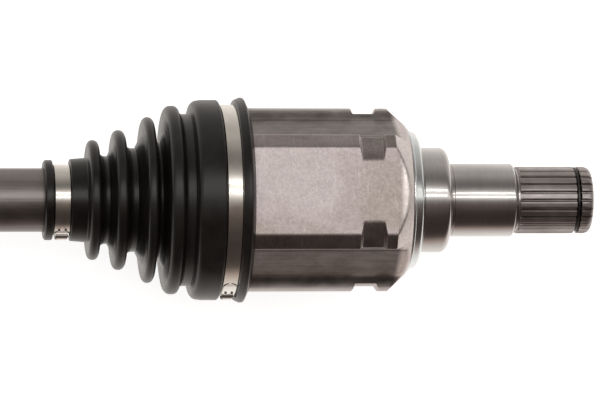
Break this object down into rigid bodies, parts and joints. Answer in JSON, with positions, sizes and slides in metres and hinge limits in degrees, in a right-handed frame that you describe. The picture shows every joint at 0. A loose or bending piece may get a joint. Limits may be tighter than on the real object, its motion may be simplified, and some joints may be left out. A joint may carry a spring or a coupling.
{
  "type": "cv axle",
  "caption": "Automotive half shaft: plunging tripod joint and ball-type constant-velocity joint on a bar, each under a convoluted rubber boot.",
  "frame": {"origin": "middle of the axle's overall length, on its centreline", "axes": "+X along the axle towards the inboard stub, +Z through the first trunnion of the inboard tripod"},
  "size_m": [0.62, 0.087, 0.087],
  "materials": {
    "forged_steel": "machined and induction-hardened forging, satin, slightly mottled",
    "zinc_plate": "bright zinc plate",
    "spring_steel": "black oxide spring steel",
    "hardened_steel": "ground hardened bearing steel",
    "bar_steel": "dark phosphated bar",
    "nut_steel": "zinc plated nut",
    "boot_rubber": "satin black rubber",
    "clamp_steel": "polished stainless band"
  },
  "bodies": {
    "inboard_joint_body": {"inboard_housing": "forged_steel", "inboard_dust_shield": "zinc_plate", "inboard_stub_circlip": "spring_steel", "inboard_boot": "boot_rubber", "inboard_boot_clamp_large": "clamp_steel"},
    "roller_carrier_1": {"roller_inner_ring_1": "hardened_steel", "needle_set_1": "hardened_steel", "roller_retainer_1": "hardened_steel"},
    "roller_carrier_2": {"roller_inner_ring_2": "hardened_steel", "needle_set_2": "hardened_steel", "roller_retainer_2": "hardened_steel"},
    "roller_carrier_3": {"roller_inner_ring_3": "hardened_steel", "needle_set_3": "hardened_steel", "roller_retainer_3": "hardened_steel"},
    "roller_1": {"roller_outer_1": "hardened_steel"},
    "roller_2": {"roller_outer_2": "hardened_steel"},
    "roller_3": {"roller_outer_3": "hardened_steel"},
    "shaft": {"axle_bar": "bar_steel", "tripod_spider": "hardened_steel", "spider_circlip_inner": "spring_steel", "spider_circlip_outer": "spring_steel", "outboard_inner_race": "hardened_steel", "outboard_race_circlip": "spring_steel", "inboard_boot_clamp_small": "clamp_steel", "outboard_boot": "boot_rubber", "outboard_boot_clamp_small": "clamp_steel"},
    "ball_set": {"outboard_cage": "hardened_steel", "ball_1": "hardened_steel", "ball_2": "hardened_steel", "ball_3": "hardened_steel", "ball_4": "hardened_steel", "ball_5": "hardened_steel", "ball_6": "hardened_steel"},
    "outboard_joint_body": {"outboard_housing": "forged_steel", "outboard_boot_clamp_large": "clamp_steel", "axle_nut": "nut_steel"}
  },
  "joints": [
    {"name": "inboard_plunge", "type": "slide", "parent": "inboard_joint_body", "child": "roller_carrier_1", "axis": [1, 0, 0], "range_m": [-0.014, 0.009], "deforming": ["inboard_boot"]},
    {"name": "inboard_bend", "type": "hinge", "parent": "roller_carrier_1", "child": "shaft", "pos_m": [0.1835, 0, 0], "axis": [0, 0, 1], "range_deg": [-16, 16], "deforming": ["inboard_boot"]},
    {"name": "outboard_bend", "type": "hinge", "parent": "shaft", "child": "outboard_joint_body", "pos_m": [-0.192, 0, 0], "axis": [0, 0, 1], "range_deg": [-42, 42], "deforming": ["outboard_boot"]},
    {"name": "cage_turn", "type": "hinge", "parent": "shaft", "child": "ball_set", "pos_m": [-0.192, 0, 0], "axis": [0, 0, 1], "range_deg": [-22, 22]},
    {"name": "roller_slide_2", "type": "slide", "parent": "roller_carrier_1", "child": "roller_carrier_2", "axis": [1, 0, 0], "range_m": [-0.006, 0.006]},
    {"name": "roller_slide_3", "type": "slide", "parent": "roller_carrier_1", "child": "roller_carrier_3", "axis": [1, 0, 0], "range_m": [-0.006, 0.006]},
    {"name": "roller_spin_1", "type": "hinge", "parent": "roller_carrier_1", "child": "roller_1", "pos_m": [0.1835, 0, 0.021], "axis": [0, 0, 1], "range_deg": [-60, 60]},
    {"name": "roller_spin_2", "type": "hinge", "parent": "roller_carrier_2", "child": "roller_2", "pos_m": [0.1835, -0.01819, -0.0105], "axis": [0, -0.866, -0.5], "range_deg": [-60, 60]},
    {"name": "roller_spin_3", "type": "hinge", "parent": "roller_carrier_3", "child": "roller_3", "pos_m": [0.1835, 0.01819, -0.0105], "axis": [0, 0.866, -0.5], "range_deg": [-60, 60]}
  ],
  "couplings": [
    {"joint": "cage_turn", "follows": "outboard_bend", "ratio": 0.5},
    {"joint": "roller_slide_2", "follows": "inboard_bend", "m_per_rad": 0.018187},
    {"joint": "roller_slide_3", "follows": "inboard_bend", "m_per_rad": -0.018187},
    {"joint": "roller_spin_1", "follows": "inboard_plunge", "rad_per_m": 64.516},
    {"joint": "roller_spin_2", "follows": "inboard_plunge", "rad_per_m": 64.516},
    {"joint": "roller_spin_3", "follows": "inboard_plunge", "rad_per_m": 64.516}
  ]
}
